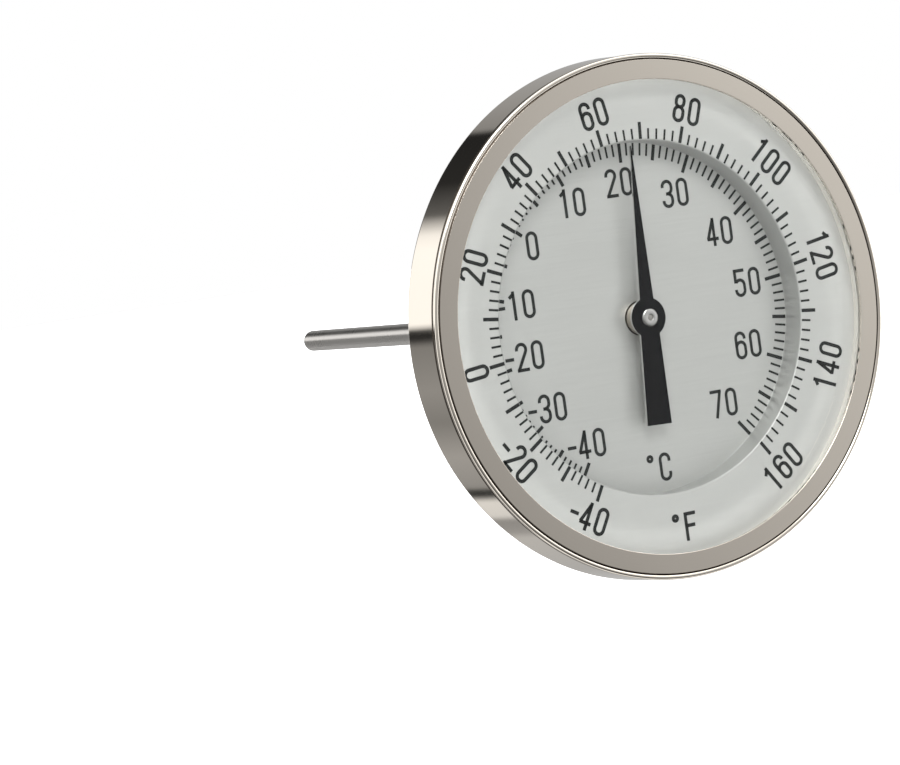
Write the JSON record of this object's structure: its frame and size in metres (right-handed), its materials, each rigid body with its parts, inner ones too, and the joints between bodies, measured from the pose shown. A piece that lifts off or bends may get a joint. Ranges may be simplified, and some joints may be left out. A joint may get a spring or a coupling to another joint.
{
  "type": "dial thermometer",
  "caption": "Round dial thermometer with a rear pipe thread and a thin rigid stem; a bimetal coil in the stem turns the pointer.",
  "frame": {"origin": "on the stem axis, where the stem leaves the end of the pipe thread", "axes": "+Y along the stem towards its tip, the dial faces -Y, +Z towards the dial's twelve o'clock, +X to the dial's right"},
  "size_m": [0.133, 0.2073, 0.133],
  "materials": {
    "polished_steel": "polished stainless steel",
    "steel": "satin stainless steel",
    "stem_steel": "drawn bright stainless steel",
    "spring_steel": "spring steel",
    "window_glass": "clear flat glass",
    "dark_rubber": "matt rubber",
    "satin_aluminium": "bright satin",
    "dial_face": "fine satin with printed scales",
    "black_paint": "black enamel with bare edges",
    "hub_metal": "turned bright",
    "bush_metal": "turned",
    "brass": "turned",
    "bimetal": "rolled strip",
    "white_ptfe": "waxy plastic"
  },
  "bodies": {
    "probe": {"threaded_connection": "steel", "stem_tube": "stem_steel", "stem_tip": "stem_steel", "helix_anchor": "steel", "bimetal_helix": "bimetal", "shaft_bush": "bush_metal", "middle_shaft_guide": "brass", "lower_shaft_guide": "brass", "lock_nut": "steel", "spring_washer": "spring_steel", "slip_washer": "white_ptfe", "spigot_seal": "dark_rubber"},
    "head": {"bezel": "polished_steel", "window": "window_glass", "window_gasket": "dark_rubber", "window_spacer": "satin_aluminium", "dial_plate": "dial_face", "dial_seat_ring": "steel", "case": "steel", "case_hub": "steel"},
    "indicator": {"pointer": "black_paint", "pointer_hub": "hub_metal", "pointer_shaft": "stem_steel", "helix_collar": "brass"}
  },
  "joints": [
    {"name": "pointer_turn", "type": "hinge", "parent": "probe", "child": "indicator", "pos_m": [0, 0, 0], "axis": [0, 1, 0], "range_deg": [-153, 141.5], "stiffness_Nm_per_rad": 0.0002},
    {"name": "head_recalibration", "type": "hinge", "parent": "probe", "child": "head", "pos_m": [0, 0, 0], "axis": [0, 1, 0], "continuous": true}
  ]
}
